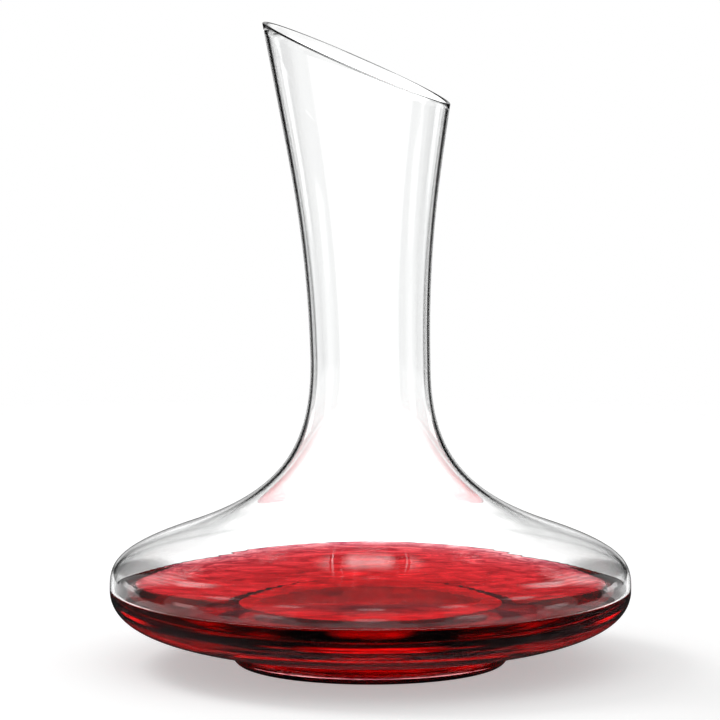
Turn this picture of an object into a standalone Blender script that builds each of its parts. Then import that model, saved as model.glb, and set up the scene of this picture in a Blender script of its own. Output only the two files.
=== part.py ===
"""Wine decanter, at rest on its foot: one blown glass vessel with a hollow foot, a wide shallow bowl
and a flared neck cut on a slant, holding wine up to the widest point of the bowl.

Frame: +Z up, origin at the centre of the resting plane, pouring lip towards -X. Metres.
Run with: blender --background --python part.py
"""

import math

import bmesh
import bpy
from mathutils import Matrix, Vector

MM = 0.001

# Glass
WALL = 1.6 * MM
BASE = 2.8 * MM  # the floor is thicker than the walls

# Foot: a dome pushed up under the floor, a flat resting ring, and a rounded side
PUNT_RISE = 3.0 * MM
RING_INNER_RADIUS = 46 * MM
RING_RADIUS = 55 * MM
FOOT_RADIUS = 59 * MM
FOOT_HEIGHT = 6.5 * MM
CREASE_ROUND = 1.0 * MM  # where the side of the foot runs into the underside of the bowl

# Bowl, from the crease over its widest point and up the shoulder. A handle is how far the curve keeps
# to its direction at that point.
UNDERSIDE_RISE = math.radians(6.9)
UNDERSIDE_HANDLE = 30 * MM
BOWL_RADIUS = 110 * MM
BOWL_HEIGHT = 31.5 * MM  # of the widest point
BOWL_HANDLE_DOWN = 15 * MM
BOWL_HANDLE_UP = 10 * MM
SHOULDER_RADIUS = 82 * MM
SHOULDER_HEIGHT = 56 * MM
SHOULDER_RISE = math.radians(19.7)
SHOULDER_HANDLE_OUT = 29 * MM
SHOULDER_HANDLE_IN = 45 * MM

# Neck: narrowest at the waist, then opening to the mouth
WAIST_RADIUS = 25.2 * MM
WAIST_HEIGHT = 127 * MM
WAIST_HANDLE_DOWN = 38 * MM
WAIST_HANDLE_UP = 45 * MM
MOUTH_RADIUS = 35.0 * MM
MOUTH_HEIGHT = 230 * MM  # above this the neck is a plain cone
MOUTH_HANDLE = 30 * MM
MOUTH_FLARE = math.radians(9.5)
NECK_LEAN = math.radians(1.4)  # of the neck above its waist, towards the lip

# Rim: one slanted cut, melted round
RIM_HEIGHT = 251.2 * MM  # of the cut, where it crosses the bowl's axis
RIM_SLOPE = math.radians(23.6)
RIM_ROUND = 0.5 * MM

# Wine: filled to the widest point, kept just off the glass
GAP = 0.3 * MM

SEGMENTS = 48  # round the axis, a multiple of 12


def clear_scene():
    for obj in list(bpy.data.objects):
        bpy.data.objects.remove(obj, do_unlink=True)


def material(name, colour, roughness, transmission, ior):
    """A clear or tinted material that light goes through."""
    made = bpy.data.materials.new(name)
    made.use_nodes = True
    shader = made.node_tree.nodes["Principled BSDF"]
    shader.inputs["Base Color"].default_value = (*colour, 1)
    shader.inputs["Metallic"].default_value = 0
    shader.inputs["Roughness"].default_value = roughness
    shader.inputs["Transmission Weight"].default_value = transmission
    shader.inputs["IOR"].default_value = ior
    made.diffuse_color = (*colour, 1)
    return made


def along(angle):
    """The unit direction at this angle above the outward radius."""
    return Vector((math.cos(angle), math.sin(angle)))


def arc(centre, radius, height, start, end, steps):
    """(radius, height) points on part of an ellipse, from one angle to another."""
    angles = [start + (end - start) * i / steps for i in range(steps + 1)]
    return [centre + Vector((radius * math.cos(a), height * math.sin(a))) for a in angles]


def curve(start, start_handle, end_handle, end, steps, inset):
    """Points of a cubic curve, moved `inset` to its left, which is into the vessel."""
    points = []
    for i in range(1, steps + 1):
        t = i / steps
        s = 1 - t
        on = s**3 * start + 3 * s * s * t * start_handle + 3 * s * t * t * end_handle + t**3 * end
        run = s * s * (start_handle - start) + 2 * s * t * (end_handle - start_handle) + t * t * (end - end_handle)
        points.append(on + inset * Vector((-run.y, run.x)).normalized())
    return points


def foot_outline(inset, floor):
    """From the axis, over the dome and the resting ring, up the side of the foot and round the crease."""
    dome_radii = [RING_INNER_RADIUS * i / 3 for i in range(4)]
    dome = [Vector((r, floor + PUNT_RISE * (1 - (r / RING_INNER_RADIUS) ** 2))) for r in dome_radii]
    side_centre = Vector((RING_RADIUS, FOOT_HEIGHT))
    side_radius = FOOT_RADIUS - inset - RING_RADIUS
    side = arc(side_centre, side_radius, FOOT_HEIGHT - floor, -math.pi / 2, 0, 3)
    crease_radius = CREASE_ROUND + inset
    crease_end = math.pi / 2 + UNDERSIDE_RISE
    crease = arc(crease_centre(), crease_radius, crease_radius, math.pi, crease_end, 2)
    return dome + side + crease[1:]


def crease_centre():
    return Vector((FOOT_RADIUS + CREASE_ROUND, FOOT_HEIGHT))


def underside_outline(inset):
    """From the crease out to the widest point."""
    start = crease_centre() + CREASE_ROUND * along(math.pi / 2 + UNDERSIDE_RISE)
    widest = Vector((BOWL_RADIUS, BOWL_HEIGHT))
    start_handle = start + UNDERSIDE_HANDLE * along(UNDERSIDE_RISE)
    return curve(start, start_handle, widest - Vector((0, BOWL_HANDLE_DOWN)), widest, 6, inset)


def shoulder_outline(inset):
    """From the widest point over the shoulder and up to the waist."""
    widest = Vector((BOWL_RADIUS, BOWL_HEIGHT))
    shoulder = Vector((SHOULDER_RADIUS, SHOULDER_HEIGHT))
    waist = Vector((WAIST_RADIUS, WAIST_HEIGHT))
    inwards = along(math.pi - SHOULDER_RISE)
    widest_handle = widest + Vector((0, BOWL_HANDLE_UP))
    waist_handle = waist - Vector((0, WAIST_HANDLE_DOWN))
    over = curve(widest, widest_handle, shoulder - SHOULDER_HANDLE_OUT * inwards, shoulder, 5, inset)
    up = curve(shoulder, shoulder + SHOULDER_HANDLE_IN * inwards, waist_handle, waist, 7, inset)
    return over + up


def neck_outline(inset):
    """From the waist to above the highest point of the rim, where the slanted cut will trim it."""
    waist = Vector((WAIST_RADIUS, WAIST_HEIGHT))
    mouth = Vector((MOUTH_RADIUS, MOUTH_HEIGHT))
    flare = along(math.pi / 2 - MOUTH_FLARE)
    waist_handle = waist + Vector((0, WAIST_HANDLE_UP))
    tube = curve(waist, waist_handle, mouth - MOUTH_HANDLE * flare, mouth, 4, inset)
    above_rim = RIM_HEIGHT + 2 * MOUTH_RADIUS * math.tan(RIM_SLOPE) - MOUTH_HEIGHT
    return tube + [tube[-1] + above_rim / flare.y * flare]


def vessel_outline(inset, floor):
    """One face of the glass, from the axis up to the mouth."""
    bowl = underside_outline(inset) + shoulder_outline(inset)
    return foot_outline(inset, floor) + bowl + neck_outline(inset)


def spin(bm, outline):
    """Turns an outline of (radius, height) points about +Z, and closes it on the axis."""
    verts = [bm.verts.new((r, 0, z)) for r, z in outline]
    edges = [bm.edges.new(pair) for pair in zip(verts, verts[1:])]
    bmesh.ops.spin(
        bm,
        geom=verts + edges,
        cent=(0, 0, 0),
        axis=(0, 0, 1),
        angle=2 * math.pi,
        steps=SEGMENTS,
        use_merge=True,
    )
    bmesh.ops.remove_doubles(bm, verts=bm.verts, dist=0.01 * MM)


def lean_neck(bm):
    """Shears everything above the waist towards the lip."""
    for vert in bm.verts:
        vert.co.x -= math.tan(NECK_LEAN) * max(0, vert.co.z - WAIST_HEIGHT)


def cut_rim(bm):
    """Trims both walls on the slant, joins them across the cut and melts its two edges round."""
    bmesh.ops.bisect_plane(
        bm,
        geom=bm.verts[:] + bm.edges[:] + bm.faces[:],
        plane_co=(0, 0, RIM_HEIGHT),
        plane_no=Matrix.Rotation(RIM_SLOPE, 3, "Y") @ Vector((0, 0, 1)),
        clear_outer=True,
    )
    rim = [edge for edge in bm.edges if edge.is_boundary]
    bmesh.ops.bridge_loops(bm, edges=rim)
    bmesh.ops.bevel(bm, geom=rim, offset=RIM_ROUND, segments=2, profile=0.5, affect="EDGES")


def add_object(name, bm, look):
    """Makes the finished mesh an object, smooth but for its real corners."""
    bmesh.ops.recalc_face_normals(bm, faces=bm.faces)
    mesh = bpy.data.meshes.new(name)
    bm.to_mesh(mesh)
    bm.free()
    mesh.shade_smooth()
    mesh.set_sharp_from_angle(angle=math.radians(50))
    mesh.materials.append(look)
    obj = bpy.data.objects.new(name, mesh)
    bpy.context.scene.collection.objects.link(obj)
    return obj


def make_glass_vessel():
    """Foot, bowl and neck in one blown wall, open at the slanted rim."""
    bm = bmesh.new()
    spin(bm, vessel_outline(0, 0))
    spin(bm, reversed(vessel_outline(WALL, BASE)))
    lean_neck(bm)
    cut_rim(bm)
    return add_object("glass_vessel", bm, material("clear_glass", (0.97, 0.98, 0.98), 0.0, 1.0, 1.5))


def make_wine():
    """The wine fills the foot and the lower bowl, with its level surface at the widest point."""
    bm = bmesh.new()
    inset = WALL + GAP
    surface = [Vector((0, BOWL_HEIGHT))]
    spin(bm, foot_outline(inset, BASE + GAP) + underside_outline(inset) + surface)
    return add_object("wine", bm, material("red_wine", (0.26, 0.01, 0.03), 0.0, 0.85, 1.34))


def main():
    clear_scene()
    make_glass_vessel()
    make_wine()


main()
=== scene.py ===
"""Looks of the wine decanter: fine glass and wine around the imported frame, a pale floor, soft studio light."""

import math

import bpy
import numpy as np
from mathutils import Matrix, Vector


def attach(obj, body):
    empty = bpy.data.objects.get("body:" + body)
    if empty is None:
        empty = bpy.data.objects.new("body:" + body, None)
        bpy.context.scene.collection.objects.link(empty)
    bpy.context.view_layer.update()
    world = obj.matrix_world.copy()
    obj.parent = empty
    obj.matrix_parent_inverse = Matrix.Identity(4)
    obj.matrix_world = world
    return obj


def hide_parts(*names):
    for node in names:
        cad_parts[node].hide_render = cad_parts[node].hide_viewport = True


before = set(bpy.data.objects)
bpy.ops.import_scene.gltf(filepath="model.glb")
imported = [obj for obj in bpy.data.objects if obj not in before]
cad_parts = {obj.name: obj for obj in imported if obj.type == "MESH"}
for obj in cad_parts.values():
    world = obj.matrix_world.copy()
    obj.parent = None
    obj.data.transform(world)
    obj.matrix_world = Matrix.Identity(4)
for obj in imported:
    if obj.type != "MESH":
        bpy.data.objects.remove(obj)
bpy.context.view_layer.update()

MM = 0.001

# The vessel's shape, as the CAD part has it, in metres and radians
WALL = 1.6 * MM
BASE = 2.8 * MM
PUNT_RISE = 3.0 * MM
RING_INNER_RADIUS = 46 * MM
RING_RADIUS = 55 * MM
FOOT_RADIUS = 59 * MM
FOOT_HEIGHT = 6.5 * MM
CREASE_ROUND = 1.0 * MM
UNDERSIDE_RISE = math.radians(6.9)
UNDERSIDE_HANDLE = 30 * MM
BOWL_RADIUS = 110 * MM
BOWL_HEIGHT = 31.5 * MM
BOWL_HANDLE_DOWN = 15 * MM
BOWL_HANDLE_UP = 10 * MM
SHOULDER_RADIUS = 82 * MM
SHOULDER_HEIGHT = 56 * MM
SHOULDER_RISE = math.radians(19.7)
SHOULDER_HANDLE_OUT = 29 * MM
SHOULDER_HANDLE_IN = 45 * MM
WAIST_RADIUS = 25.2 * MM
WAIST_HEIGHT = 127 * MM
WAIST_HANDLE_DOWN = 38 * MM
WAIST_HANDLE_UP = 45 * MM
MOUTH_RADIUS = 35.0 * MM
MOUTH_HEIGHT = 230 * MM
MOUTH_HANDLE = 30 * MM
MOUTH_FLARE = math.radians(9.5)
NECK_LEAN = math.radians(1.4)
RIM_HEIGHT = 251.2 * MM
RIM_SLOPE = math.radians(23.6)

# Finer than the CAD part
SEGMENTS = 256  # round the axis
DOME_POINTS = 13
SIDE_STEPS = 10
CREASE_STEPS = 8
UNDERSIDE_STEPS = 28
OVER_STEPS = 22  # from the widest point to the shoulder
UP_STEPS = 34  # from the shoulder to the waist
NECK_STEPS = 44
NECK_SAMPLES = 600  # of the neck's curve, which its rows are read from
ABOVE_MOUTH = 60 * MM  # how far the neck's cone goes on, to be above the cut all round
CUT_LIMIT = 320 * MM  # the cut is looked for below this
CUT_HALVINGS = 50
RIM_ROLL = 0.75 * MM  # how far the melted edge of the rim is rounded over
ROLL_STEPS = 10

# The wine wets the glass, so its skin lies just inside the wall, and it climbs the wall a little
OVERLAP = 0.35 * MM
MENISCUS_RISE = 0.7 * MM
MENISCUS_WIDTH = 0.9 * MM
MENISCUS_SPAN_MM = (0.1, 12)  # nearest and farthest row from the shore
LEVEL_START = 16 * MM  # from the shore, where the level part of the surface starts
LEVEL_END = 6 * MM  # from the axis
SURFACE_ROWS = 24

# Glass and wine
GLASS_IOR = 1.5
WINE_IOR = 1.34
MIRROR = 0.5  # part of the face-on reflection that clean glass keeps, as in polarised studio light
WETTED = 0.02  # the same where wine lies against glass
EDGE = (0.8, 0.97)  # the Facing over which painted shade darkens the glass where it is met at a grazing angle, far more than the long way through the wall would
EDGE_PAINTED_SHADE = 0.02
WINE_DENSITY = 190

# The studio: white sectors round the decanter with dark flags between them. Light is radiance, and 1 is
# white in the picture. Every pair is a soft edge, from where it starts to where it ends.
SECTOR_COUNT = 8
SKY = 0.6  # what lights the matt floor
CAMERA_WHITE = 1.0  # what the camera sees beyond the floor

# Edges of sectors and flags, in the wave that `sectors` makes
FLAG_EDGE = (-0.35, 0.05)
MIDDLE_EDGE = (0.955, 0.99)
PANEL_EDGE = (0.3, 0.9)

# Edges up the wall of the studio, in the sine of the elevation
HORIZON = (-0.02, 0.03)
PANEL_LOW_EDGE = (0.11, 0.14)
PANEL_MIDDLE_EDGE = (0.19, 0.25)
PANEL_HIGH_EDGE = (0.6, 0.68)
PANEL_END = (0.72, 0.8)
MIRRORED_END = (0.45, 0.65)

# Seen through the glass. Below the horizon:
THROUGH_BESIDE = 1.0  # a sector's sides
THROUGH = 1.9  # its middle

# Above the horizon, from the bottom up:
PANEL_HORIZON = 3.5
PANEL_LOW = 0.05  # dark, as a low camera sees this part again in the wine's surface
PANEL_MIDDLE = 0.1
PANEL_HIGH = 4.2  # the lamps that light the wine from above

# Seen in the face of the glass
MIRRORED_LEVEL = 0.55  # the sectors
MIRRORED_FLAG = 0.02  # the flags
MIRRORED_TOP = 0.06  # the part that is left of both higher up

# A lamp above and behind, to the left, for the shadow
KEY_PLACE = (-0.9, 0.5, 1.2)
KEY_TARGET = (0, 0, 0.05)
KEY_SIZE = 0.6
KEY_POWER = 6

# The floor
FLOOR_SEGMENTS = 96
FLOOR_ROWS = (0.03, 0.9, 30)  # first and last radius, and how many
FLOOR_DROP = 0.2 * MM  # just clear of the foot
FLOOR_COLOUR = 0.86
FLOOR_GLOW = 0.4  # what it adds of its own for the camera
FLOOR_MIRRORED = 0.02  # seen in the face of glass and wine

# Seen through glass and wine, in the same sectors and flags as the studio
FLOOR_PAINTED_SHADOW_UNDER_FOOT = 0.3  # painted shadow of the foot, dimming the backlight on the axis
FLOOR_BACKLIGHT = 2.0  # round the foot
FLOOR_FLAG = 0.7  # further out, in the flags
FLOOR_BESIDE = 1.6  # further out, at a sector's sides. Its middle is THROUGH
FLOOR_FLAG_EDGE = (-0.95, -0.7)
FLOOR_SECTOR_EDGE = (0.1, 0.9)

# Edges on the floor, in metres from the axis
# FOOT_EDGE is where the painted shadow under the foot fades out
FOOT_EDGE = (0.0, 0.055)
FLOOR_OUTER = (0.14, 0.24)
FLOOR_FADE = (0.55, 0.88)

CAMERA_PLACE = (-0.00441, -2.450, 0.433)
CAMERA_DOWN = math.radians(7.085)
SENSOR_WIDTH = 36
LENS = 293.84
CLIP = (0.05, 50)
BOUNCES = 24
GLOSSY_BOUNCES = 16


# ---------------------------------------------------------------- shape of the glass and the wine


def along(angle):
    """The unit direction at this angle above the outward radius."""
    return np.array([math.cos(angle), math.sin(angle)])


def arc(centre, radius, height, start, end, steps):
    """(radius, height) points on part of an ellipse, from one angle to another."""
    a = np.linspace(start, end, steps + 1)
    return np.c_[centre[0] + radius * np.cos(a), centre[1] + height * np.sin(a)]


def curve(start, start_handle, end_handle, end, steps, inset):
    """Points of a cubic curve after its start, moved `inset` to its left."""
    t = (np.arange(1, steps + 1) / steps)[:, None]
    s = 1 - t
    on = s**3 * start + 3 * s * s * t * start_handle + 3 * s * t * t * end_handle + t**3 * end
    run = s * s * (start_handle - start) + 2 * s * t * (end_handle - start_handle) + t * t * (end - end_handle)
    left = np.c_[-run[:, 1], run[:, 0]]
    return on + inset * left / np.linalg.norm(left, axis=1, keepdims=True)


def foot_outline(inset, floor):
    """(radius, height) from the axis, over dome and ring, up the side of the foot and round the crease."""
    r = np.linspace(0, RING_INNER_RADIUS, DOME_POINTS)
    dome = np.c_[r, floor + PUNT_RISE * (1 - (r / RING_INNER_RADIUS) ** 2)]
    side_at = (RING_RADIUS, FOOT_HEIGHT)
    side_radius = FOOT_RADIUS - inset - RING_RADIUS
    side = arc(side_at, side_radius, FOOT_HEIGHT - floor, -math.pi / 2, 0, SIDE_STEPS)
    crease_radius = CREASE_ROUND + inset
    crease_end = math.pi / 2 + UNDERSIDE_RISE
    crease = arc(crease_centre(), crease_radius, crease_radius, math.pi, crease_end, CREASE_STEPS)
    return np.r_[dome, side, crease[1:]]


def crease_centre():
    return np.array([FOOT_RADIUS + CREASE_ROUND, FOOT_HEIGHT])


def body_outline(inset, floor):
    """(radius, height) from the axis, over the foot, underside, bowl and shoulder to the waist."""
    start = crease_centre() + CREASE_ROUND * along(math.pi / 2 + UNDERSIDE_RISE)
    start_handle = start + UNDERSIDE_HANDLE * along(UNDERSIDE_RISE)
    widest = np.array([BOWL_RADIUS, BOWL_HEIGHT])
    widest_below = widest - (0, BOWL_HANDLE_DOWN)
    widest_above = widest + (0, BOWL_HANDLE_UP)
    shoulder = np.array([SHOULDER_RADIUS, SHOULDER_HEIGHT])
    inwards = along(math.pi - SHOULDER_RISE)
    shoulder_out = shoulder - SHOULDER_HANDLE_OUT * inwards
    shoulder_in = shoulder + SHOULDER_HANDLE_IN * inwards
    waist = np.array([WAIST_RADIUS, WAIST_HEIGHT])
    waist_below = waist - (0, WAIST_HANDLE_DOWN)
    under = curve(start, start_handle, widest_below, widest, UNDERSIDE_STEPS, inset)
    over = curve(widest, widest_above, shoulder_out, shoulder, OVER_STEPS, inset)
    up = curve(shoulder, shoulder_in, waist_below, waist, UP_STEPS, inset)
    return np.r_[foot_outline(inset, floor), under, over, up]


def neck_radius(inset):
    """The neck's radius as a function of height, from the waist up."""
    waist = np.array([WAIST_RADIUS, WAIST_HEIGHT])
    waist_above = waist + (0, WAIST_HANDLE_UP)
    mouth = np.array([MOUTH_RADIUS, MOUTH_HEIGHT])
    flare = along(math.pi / 2 - MOUTH_FLARE)
    tube = curve(waist, waist_above, mouth - MOUTH_HANDLE * flare, mouth, NECK_SAMPLES, inset)
    tube = np.r_[[[WAIST_RADIUS - inset, WAIST_HEIGHT]], tube, [tube[-1] + ABOVE_MOUTH * flare]]
    return lambda z: np.interp(z, tube[:, 1], tube[:, 0])


def lean(z):
    """How far the neck is sheared along X at this height."""
    return -math.tan(NECK_LEAN) * np.maximum(0, z - WAIST_HEIGHT)


def turn(count):
    """This many azimuths, evenly round."""
    return np.arange(count) * 2 * math.pi / count


def ring(radius, height, azimuths):
    """One row of the wall: points all round at this radius and height, sheared with the neck."""
    height = np.broadcast_to(height, azimuths.shape)
    return np.c_[radius * np.cos(azimuths) + lean(height), radius * np.sin(azimuths), height]


def cut_height(radius_at, azimuths, drop):
    """Where the wall meets the slanted cut, `drop` below it, at each azimuth."""
    low = np.full(azimuths.shape, WAIST_HEIGHT)
    high = np.full(azimuths.shape, CUT_LIMIT)
    for _ in range(CUT_HALVINGS):
        z = (low + high) / 2
        x = radius_at(z) * np.cos(azimuths) + lean(z)
        above = x * math.sin(RIM_SLOPE) + (z - RIM_HEIGHT) * math.cos(RIM_SLOPE) + drop > 0
        high = np.where(above, z, high)
        low = np.where(above, low, z)
    return (low + high) / 2


def wall_rows(inset, floor, azimuths):
    """Rows of one face of the glass from the floor up to just below the cut."""
    rows = [ring(r, z, azimuths) for r, z in body_outline(inset, floor)]
    radius_at = neck_radius(inset)
    top = cut_height(radius_at, azimuths, RIM_ROLL)
    for i in range(1, NECK_STEPS + 1):
        z = WAIST_HEIGHT + (top - WAIST_HEIGHT) * i / NECK_STEPS
        rows.append(ring(radius_at(z), z, azimuths))
    return rows


def bands(first, last, count):
    """Faces between rows of `count` points, from the row that starts at `first` to the one at `last`."""
    faces = []
    for a in range(first, last, count):
        b = a + count
        faces += [(a + j, a + (j + 1) % count, b + (j + 1) % count, b + j) for j in range(count)]
    return faces


def add_mesh(name, verts, faces):
    """Makes these faces an object."""
    mesh = bpy.data.meshes.new(name)
    mesh.from_pydata([tuple(v) for v in verts], [], faces)
    mesh.update()
    made = bpy.data.objects.new(name, mesh)
    bpy.context.scene.collection.objects.link(made)
    return made


def add_closed(name, rows):
    """A closed smooth mesh through rows of points. The first and last rows are single points on the axis."""
    count = len(rows[1])
    verts = np.r_[rows[0][:1], np.concatenate(rows[1:-1]), rows[-1][:1]]
    last = len(verts) - 1
    bottom = [(0, 1 + (j + 1) % count, 1 + j) for j in range(count)]
    top = [(last - count + j, last - count + (j + 1) % count, last) for j in range(count)]
    made = add_mesh(name, verts, bottom + bands(1, last - count, count) + top)
    made.data.shade_smooth()
    return made


def make_glass():
    """Both faces of the wall, joined over the rolled edge of the slanted rim."""
    azimuths = turn(SEGMENTS)
    outer = wall_rows(0, 0, azimuths)
    inner = wall_rows(WALL, BASE, azimuths)
    normal = np.array([math.sin(RIM_SLOPE), 0, math.cos(RIM_SLOPE)])
    middle = (outer[-1] + inner[-1]) / 2
    half = (outer[-1] - inner[-1]) / 2
    turns = [math.pi * i / ROLL_STEPS for i in range(1, ROLL_STEPS)]
    roll = [middle + half * math.cos(a) + RIM_ROLL * math.sin(a) * normal for a in turns]
    made = add_closed("blown_glass_vessel", outer + roll + inner[::-1])
    looks = (
        glass_material("clear_blown_glass", MIRROR, clear_colour_and_painted_edge_shade),
        glass_material("wetted_glass", WETTED, clear_colour_and_painted_edge_shade),
        # The rim carries painted shade, darkest at the lip
        glass_material("fire_polished_rim_painted_shade", MIRROR, rim_painted_shade_colour),
    )
    for look in looks:
        made.data.materials.append(look)
    clear, wetted, rim = range(len(looks))
    first_roll = len(outer) - 1
    first_inner = first_roll + len(roll)
    for face in made.data.polygons:
        band = face.index // SEGMENTS
        if band >= first_inner and face.center.z < BOWL_HEIGHT + MENISCUS_RISE:
            face.material_index = wetted
        elif first_roll <= band < first_inner - 1:
            face.material_index = rim
        else:
            face.material_index = clear
    return made


def make_wine():
    """The wine up to the bowl's widest point, with its edge drawn up the wall."""
    outline = body_outline(WALL - OVERLAP, BASE - OVERLAP)
    widest = np.argmax(outline[:, 0])
    below = outline[: widest + 1]
    above = outline[widest + 1 :]
    top = BOWL_HEIGHT + MENISCUS_RISE
    wet = above[above[:, 1] < top]
    wall_at_top = np.interp(top, above[:, 1], above[:, 0])
    shore = wall_at_top - OVERLAP
    climb = np.r_[0, np.geomspace(*MENISCUS_SPAN_MM, SURFACE_ROWS)] * MM
    surface = [(wall_at_top, top)]
    surface += [(shore - d, BOWL_HEIGHT + MENISCUS_RISE * math.exp(-d / MENISCUS_WIDTH)) for d in climb]
    surface += [(r, BOWL_HEIGHT) for r in np.linspace(shore - LEVEL_START, LEVEL_END, SURFACE_ROWS)]
    surface += [(0, BOWL_HEIGHT)]
    azimuths = turn(SEGMENTS)
    made = add_closed("red_wine", [ring(r, z, azimuths) for r, z in np.r_[below, wet, surface]])
    made.data.materials.append(wine_material())
    return made


def make_floor():
    """A pale round table top that thins out to nothing at its edge."""
    azimuths = turn(FLOOR_SEGMENTS)
    rows = [np.c_[r * np.cos(azimuths), r * np.sin(azimuths), 0 * azimuths] for r in np.linspace(*FLOOR_ROWS)]
    middle = [(0, 1 + j, 1 + (j + 1) % FLOOR_SEGMENTS) for j in range(FLOOR_SEGMENTS)]
    last = 1 + FLOOR_SEGMENTS * (len(rows) - 1)
    upwards = [face[::-1] for face in bands(1, last, FLOOR_SEGMENTS)]
    floor = add_mesh("floor", np.r_[[(0, 0, 0)], np.concatenate(rows)], middle + upwards)
    floor.location.z = -FLOOR_DROP
    floor.data.materials.append(floor_material())


# ---------------------------------------------------------------- nodes


def plug(made, sockets):
    """Sets these inputs of a node, or links them where the value is another node's output."""
    for name, value in sockets.items():
        if isinstance(value, bpy.types.NodeSocket):
            made.id_data.links.new(value, made.inputs[name])
        else:
            made.inputs[name].default_value = value
    return made


def node(tree, kind, sockets, **properties):
    """A new shader node of this kind."""
    made = tree.nodes.new("ShaderNode" + kind)
    for name, value in properties.items():
        setattr(made, name, value)
    return plug(made, sockets)


def place_of(tree, kind="Object"):
    return node(tree, "TexCoord", {}).outputs[kind]


def axis(tree, vector, name):
    return node(tree, "SeparateXYZ", {"Vector": vector}).outputs[name]


def noise(tree, vector, scale, detail, roughness, distortion=0):
    grain = {"Scale": scale, "Detail": detail, "Roughness": roughness, "Distortion": distortion}
    return node(tree, "TexNoise", {"Vector": vector, **grain}).outputs["Fac"]


def bump(tree, height, strength, distance):
    sockets = {"Height": height, "Strength": strength, "Distance": distance}
    return node(tree, "Bump", sockets).outputs["Normal"]


def colours(tree, value, first, last, between=(0, 1)):
    """A colour that goes from `first` to `last` as the value goes between these two."""
    made = node(tree, "ValToRGB", {"Fac": value})
    for stop, position, colour in zip(made.color_ramp.elements, between, (first, last)):
        stop.position = position
        stop.color = (*colour, 1)
    return made.outputs["Color"]


def ramp(tree, value, between, low, high):
    """A smooth step from `low` to `high` as the value goes between these two."""
    sockets = {"Value": value, "From Min": between[0], "From Max": between[1], "To Min": low, "To Max": high}
    return node(tree, "MapRange", sockets, interpolation_type="SMOOTHSTEP").outputs["Result"]


def maths(tree, operation, *values):
    return node(tree, "Math", dict(enumerate(values)), operation=operation).outputs[0]


def mix(tree, part, first, second):
    return node(tree, "MixShader", {0: part, 1: first, 2: second}).outputs[0]


def sectors(tree, vector):
    """A wave of the azimuth: 1 in the middle of each white sector, and -1 in the middle of each dark flag."""
    azimuth = maths(tree, "ARCTAN2", axis(tree, vector, "X"), axis(tree, vector, "Y"))
    return maths(tree, "COSINE", maths(tree, "MULTIPLY", azimuth, SECTOR_COUNT))


# ---------------------------------------------------------------- materials


def new_material(name, sockets):
    """A material, its tree, and its shader with these inputs set."""
    made = bpy.data.materials.new(name)
    made.use_nodes = True
    tree = made.node_tree
    return made, tree, plug(tree.nodes["Principled BSDF"], sockets)


def glass_material(name, mirror, colour):
    """Clear glass with a faint ripple, tinted by `colour`, that keeps this part of its face-on reflection."""
    plain = {"Transmission Weight": 1, "IOR": GLASS_IOR, "Specular Tint": (mirror, mirror, mirror, 1)}
    made, tree, shader = new_material(name, plain)
    place = place_of(tree)
    haze = noise(tree, place, scale=9, detail=2, roughness=0.5)
    polish = node(tree, "MapRange", {"Value": haze, "To Min": 0.0, "To Max": 0.004})
    ripple = bump(tree, noise(tree, place, scale=22, detail=1, roughness=0.4), strength=0.03, distance=0.0006)
    tint = colour(tree, place, haze)
    plug(shader, {"Base Color": tint, "Roughness": polish.outputs["Result"], "Normal": ripple})
    return made


def clear_colour_and_painted_edge_shade(tree, place, haze):
    """All but colourless, with painted shade that makes it dark where it is seen edge-on."""
    tint = colours(tree, haze, (0.985, 0.992, 0.99), (1, 1, 1))
    facing = node(tree, "LayerWeight", {"Blend": 0.5}).outputs["Facing"]
    # Painted shade: dark outlines drawn into the colour where the glass is met at a grazing angle
    clear = ramp(tree, facing, EDGE, 1, EDGE_PAINTED_SHADE)
    return node(tree, "VectorMath", {"Vector": tint, "Scale": clear}, operation="SCALE").outputs["Vector"]


def rim_painted_shade_colour(tree, place, haze):
    """Painted shade: the fire-polished edge is painted darker, in place of the dark lines that light draws along
    it, most of all at the lip.
    """
    across = ramp(tree, axis(tree, place, "X"), (-MOUTH_RADIUS, MOUTH_RADIUS), 0, 1)
    return colours(tree, across, (0.002, 0.002, 0.002), (0.4, 0.41, 0.41))


def wine_material():
    """Red wine, coloured by depth, with painted mottled light and shade, such as glass and light throw into real
    wine, as its tint.
    """
    plain = {
        "Transmission Weight": 1,
        "IOR": WINE_IOR,
        "Specular Tint": (WETTED, WETTED, WETTED, 1),
        "Roughness": 0.0,
    }
    made, tree, shader = new_material("red_wine", plain)
    place = place_of(tree)
    stretched = node(tree, "Mapping", {"Vector": place, "Scale": (0.5, 1.4, 3)}).outputs["Vector"]
    # Painted light and shade: mottling drawn into the tint
    painted_mottle = noise(tree, stretched, scale=46, detail=6, roughness=0.62, distortion=2.4)
    tint = colours(tree, painted_mottle, (0.36, 0.04, 0.08), (0.97, 0.46, 0.48), between=(0.4, 0.6))
    ripple = bump(tree, noise(tree, place, scale=16, detail=2, roughness=0.5), strength=0.1, distance=0.0005)
    plug(shader, {"Base Color": tint, "Normal": ripple})
    depth = node(tree, "VolumeAbsorption", {"Density": WINE_DENSITY, "Color": (0.972, 0.45, 0.5, 1)})
    plug(tree.nodes["Material Output"], {"Volume": depth.outputs["Volume"]})
    return made


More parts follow.
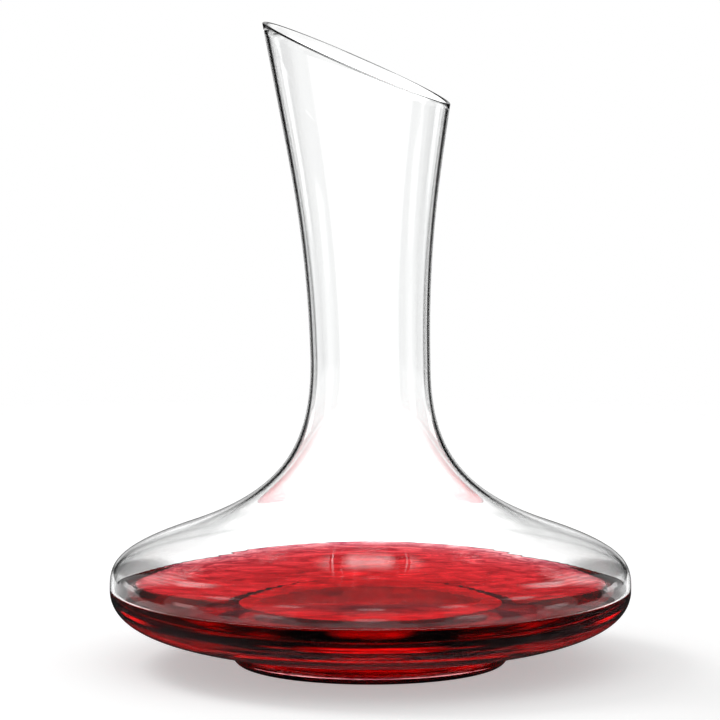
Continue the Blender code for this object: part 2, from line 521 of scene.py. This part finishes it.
def floor_material():
    """Matt and pale to the camera, lit from below through the glass and wine, with a painted shadow under the
    foot, and dark in their reflections.
    """
    plain = {
        "Roughness": 0.9,
        "Specular IOR Level": 0.0,
        "Base Color": (FLOOR_COLOUR, FLOOR_COLOUR, FLOOR_COLOUR, 1),
        "Emission Color": (1, 1, 1, 1),
    }
    made, tree, shader = new_material("pale_floor", plain)
    ray = node(tree, "LightPath", {})
    place = place_of(tree)
    far = node(tree, "VectorMath", {"Vector": place}, operation="LENGTH").outputs["Value"]
    fade = ramp(tree, far, FLOOR_FADE, 1, 0)
    glow = maths(tree, "MULTIPLY", ray.outputs["Is Camera Ray"], FLOOR_GLOW)
    plug(shader, {"Alpha": fade, "Emission Strength": glow})

    wave = sectors(tree, place)
    # Painted shadow: the backlight is dimmed under the foot
    near = ramp(tree, far, FOOT_EDGE, FLOOR_PAINTED_SHADOW_UNDER_FOOT, FLOOR_BACKLIGHT)
    beside = ramp(tree, wave, FLOOR_FLAG_EDGE, FLOOR_FLAG, FLOOR_BESIDE)
    middle = ramp(tree, wave, FLOOR_SECTOR_EDGE, 0, THROUGH - FLOOR_BESIDE)
    outer = ramp(tree, far, FLOOR_OUTER, 0, 1)
    near = maths(tree, "MULTIPLY", near, maths(tree, "SUBTRACT", 1, outer))
    further = maths(tree, "MULTIPLY", maths(tree, "ADD", beside, middle), outer)
    backlight = node(tree, "Emission", {"Strength": maths(tree, "ADD", near, further)})
    clear = node(tree, "BsdfTransparent", {})
    backlight = mix(tree, fade, clear.outputs[0], backlight.outputs[0])

    mirrored = node(tree, "Emission", {"Strength": FLOOR_MIRRORED})
    seen = mix(tree, ray.outputs["Is Glossy Ray"], shader.outputs[0], mirrored.outputs[0])
    seen = mix(tree, ray.outputs["Is Transmission Ray"], seen, backlight)
    plug(tree.nodes["Material Output"], {"Surface": seen})
    return made


# ---------------------------------------------------------------- light and camera


def light_through(tree, wave, height):
    """What shows through the glass: sectors below the horizon, and stacked panels above it."""
    beside = ramp(tree, wave, FLAG_EDGE, 0, THROUGH_BESIDE)
    middle = ramp(tree, wave, MIDDLE_EDGE, 0, THROUGH - THROUGH_BESIDE)
    below = maths(tree, "ADD", beside, middle)
    power = ramp(tree, height, PANEL_LOW_EDGE, PANEL_HORIZON, PANEL_LOW)
    for edge, step in (
        (PANEL_MIDDLE_EDGE, PANEL_MIDDLE - PANEL_LOW),
        (PANEL_HIGH_EDGE, PANEL_HIGH - PANEL_MIDDLE),
    ):
        power = maths(tree, "ADD", power, ramp(tree, height, edge, 0, step))
    above = maths(tree, "MULTIPLY", ramp(tree, wave, PANEL_EDGE, 0, 1), power)
    above = maths(tree, "MULTIPLY", above, ramp(tree, height, PANEL_END, 1, 0))
    upper = ramp(tree, height, HORIZON, 0, 1)
    lower = maths(tree, "SUBTRACT", 1, upper)
    below = maths(tree, "MULTIPLY", below, lower)
    return maths(tree, "ADD", below, maths(tree, "MULTIPLY", above, upper))


def light_mirrored(tree, wave, height):
    """What shows in the face of the glass: the sectors and flags, much darker high up."""
    around = ramp(tree, wave, FLAG_EDGE, MIRRORED_FLAG, MIRRORED_LEVEL)
    return maths(tree, "MULTIPLY", around, ramp(tree, height, MIRRORED_END, 1, MIRRORED_TOP))


def background(tree, strength):
    return node(tree, "Background", {"Color": (1, 1, 1, 1), "Strength": strength}).outputs[0]


def make_world():
    """A bright-field studio: white panels with black flags between them, as glass is lit for a catalogue."""
    world = bpy.data.worlds.new("studio")
    world.use_nodes = True
    tree = world.node_tree
    tree.nodes.clear()
    place = place_of(tree, "Generated")
    wave = sectors(tree, place)
    height = axis(tree, place, "Z")
    ray = node(tree, "LightPath", {})
    seen = background(tree, SKY)
    # A ray that went through glass also counts as glossy, so transmission is picked after it
    for kind, strength in (
        ("Is Glossy Ray", light_mirrored(tree, wave, height)),
        ("Is Transmission Ray", light_through(tree, wave, height)),
        ("Is Camera Ray", CAMERA_WHITE),
    ):
        seen = mix(tree, ray.outputs[kind], seen, background(tree, strength))
    node(tree, "OutputWorld", {"Surface": seen})
    bpy.context.scene.world = world


def make_key_light():
    data = bpy.data.lights.new("key", "AREA")
    data.shape = "RECTANGLE"
    data.size = data.size_y = KEY_SIZE
    data.energy = KEY_POWER
    lamp = bpy.data.objects.new("key", data)
    lamp.location = KEY_PLACE
    lamp.rotation_mode = "QUATERNION"
    lamp.rotation_quaternion = (Vector(KEY_TARGET) - Vector(KEY_PLACE)).to_track_quat("-Z", "Y")
    lamp.visible_camera = lamp.visible_glossy = lamp.visible_transmission = False
    bpy.context.scene.collection.objects.link(lamp)


def make_camera():
    data = bpy.data.cameras.new("camera")
    data.sensor_width = SENSOR_WIDTH
    data.lens = LENS
    data.clip_start, data.clip_end = CLIP
    camera = bpy.data.objects.new("camera", data)
    camera.location = CAMERA_PLACE
    camera.rotation_euler = (math.pi / 2 - CAMERA_DOWN, 0, 0)
    bpy.context.scene.collection.objects.link(camera)
    bpy.context.scene.camera = camera


def main():
    make_camera()
    glass = make_glass()
    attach(glass, "decanter")
    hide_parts("glass_vessel")
    wine = make_wine()
    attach(wine, "wine_body")
    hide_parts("wine")
    make_floor()
    make_world()
    make_key_light()
    scene = bpy.context.scene
    scene.view_settings.view_transform = "Standard"
    scene.cycles.max_bounces = BOUNCES
    scene.cycles.transmission_bounces = BOUNCES
    scene.cycles.glossy_bounces = GLOSSY_BOUNCES


main()
